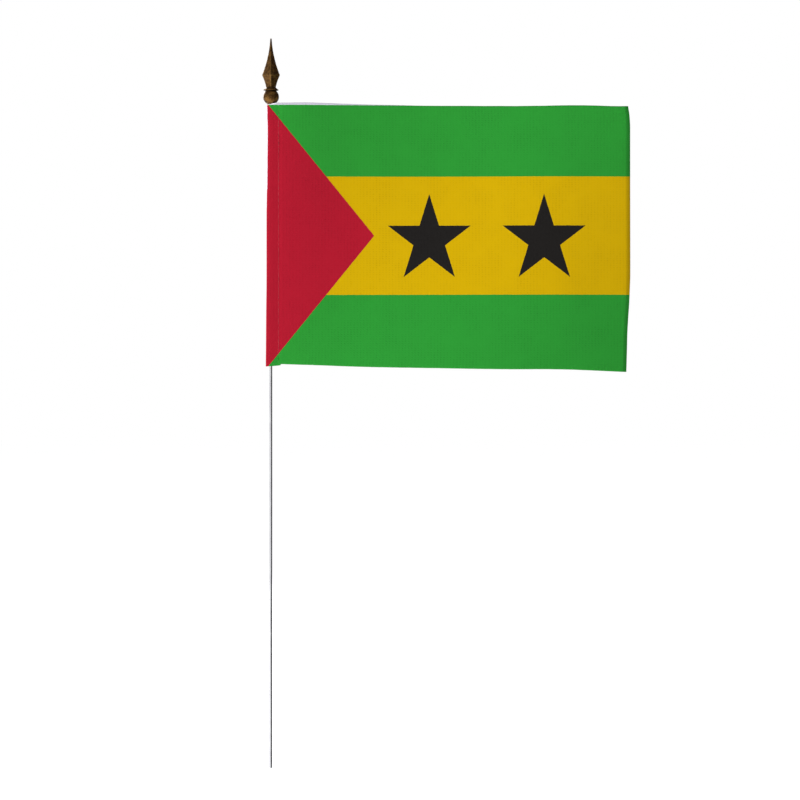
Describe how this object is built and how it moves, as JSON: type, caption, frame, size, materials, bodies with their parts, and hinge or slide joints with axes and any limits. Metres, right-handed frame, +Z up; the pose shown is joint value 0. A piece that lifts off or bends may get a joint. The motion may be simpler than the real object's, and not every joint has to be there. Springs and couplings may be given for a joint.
{
  "type": "table flag on rod",
  "caption": "Small rectangular cloth flag, printed with stripes, a triangle and two stars, sleeved on a thin metal rod with a spear finial.",
  "frame": {"origin": "centre of the rod's foot, where it stands in a base", "axes": "+Z up the rod, +X from the rod towards the flag's fly edge, the flag's front looks towards -Y"},
  "size_m": [0.2091, 0.0102, 0.4145],
  "materials": {
    "rod_metal": "bright drawn and nickel plated",
    "finial_bronze": "moulded, antique bronze lacquer",
    "cloth": "knitted polyester, printed, cut edges",
    "thread": "clear nylon monofilament"
  },
  "bodies": {
    "pole": {"pole": "rod_metal"},
    "flag": {"flag_cloth": "cloth", "seam_needle_thread": "thread", "seam_bobbin_thread": "thread"},
    "finial": {"finial": "finial_bronze"}
  },
  "joints": [
    {"name": "flag_swing", "type": "hinge", "parent": "pole", "child": "flag", "pos_m": [0, 0, 0.3], "axis": [0, 0, 1], "continuous": true},
    {"name": "finial_pull_off", "type": "slide", "parent": "pole", "child": "finial", "axis": [0, 0, 1], "range_m": [0, 0.012]}
  ]
}
